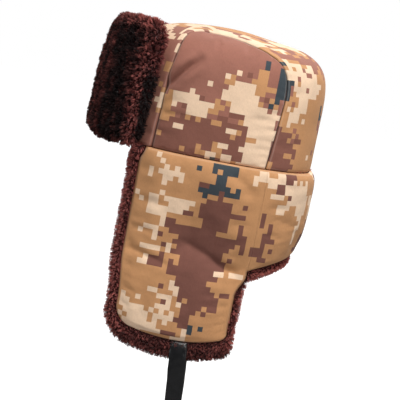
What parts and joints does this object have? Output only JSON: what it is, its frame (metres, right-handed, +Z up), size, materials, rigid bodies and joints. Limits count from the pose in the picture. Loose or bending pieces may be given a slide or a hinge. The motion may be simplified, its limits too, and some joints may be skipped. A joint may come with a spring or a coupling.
{
  "type": "trapper hat",
  "caption": "Padded trapper hat with a standing fur visor, fur-lined ear flaps and neck flap that fold up, and chin straps with a press stud.",
  "frame": {"origin": "the middle of the head opening, level with the seam between the crown and the flaps, where the head holds the hat up", "axes": "+X the wearer's left, +Y the back of the head, +Z up through the crown"},
  "size_m": [0.2012, 0.2561, 0.5539],
  "materials": {
    "camo_cloth": "woven polyester-cotton printed with a squared desert pattern of brown, tan, cream and a little slate",
    "wadding": "lofted polyester wadding, hidden between the cloth and the lining",
    "lining_cloth": "dark satin lining, quilted in diamonds",
    "burgundy_fur": "dense faux fur, near black at the root and burgundy at the tips",
    "strap_leather": "thin glossy black imitation leather, creased along its length",
    "stud_metal": "dark plated press stud"
  },
  "bodies": {
    "crown": {"crown_centre_panel": "camo_cloth", "crown_left_panel": "camo_cloth", "crown_right_panel": "camo_cloth", "crown_front_wadding": "wadding", "crown_top_wadding": "wadding", "crown_back_wadding": "wadding", "crown_left_wadding": "wadding", "crown_right_wadding": "wadding", "crown_centre_lining": "lining_cloth", "crown_left_lining": "lining_cloth", "crown_right_lining": "lining_cloth"},
    "visor": {"visor_shell": "camo_cloth", "visor_stiffener": "wadding", "visor_fur": "burgundy_fur"},
    "left_ear_flap": {"left_ear_flap_shell": "camo_cloth", "left_ear_flap_wadding": "wadding", "left_ear_flap_fur": "burgundy_fur", "left_strap": "strap_leather", "left_stud_cap": "stud_metal", "left_stud_socket": "stud_metal"},
    "right_ear_flap": {"right_ear_flap_shell": "camo_cloth", "right_ear_flap_wadding": "wadding", "right_ear_flap_fur": "burgundy_fur", "right_strap": "strap_leather", "right_stud_cap": "stud_metal", "right_stud_ball": "stud_metal"},
    "neck_flap": {"neck_flap_shell": "camo_cloth", "neck_flap_wadding": "wadding", "neck_flap_fur": "burgundy_fur"}
  },
  "joints": [
    {"name": "visor_fold", "type": "hinge", "parent": "crown", "child": "visor", "pos_m": [0, -0.111, 0], "axis": [1, 0, 0], "range_deg": [0, 150]},
    {"name": "left_flap_fold", "type": "hinge", "parent": "crown", "child": "left_ear_flap", "pos_m": [0.101, 0, 0], "axis": [0, -1, 0], "range_deg": [0, 165]},
    {"name": "right_flap_fold", "type": "hinge", "parent": "crown", "child": "right_ear_flap", "pos_m": [-0.101, 0, 0], "axis": [0, 1, 0], "range_deg": [0, 165]},
    {"name": "neck_flap_fold", "type": "hinge", "parent": "crown", "child": "neck_flap", "pos_m": [0, 0.117, 0], "axis": [1, 0, 0], "range_deg": [0, 160]}
  ]
}
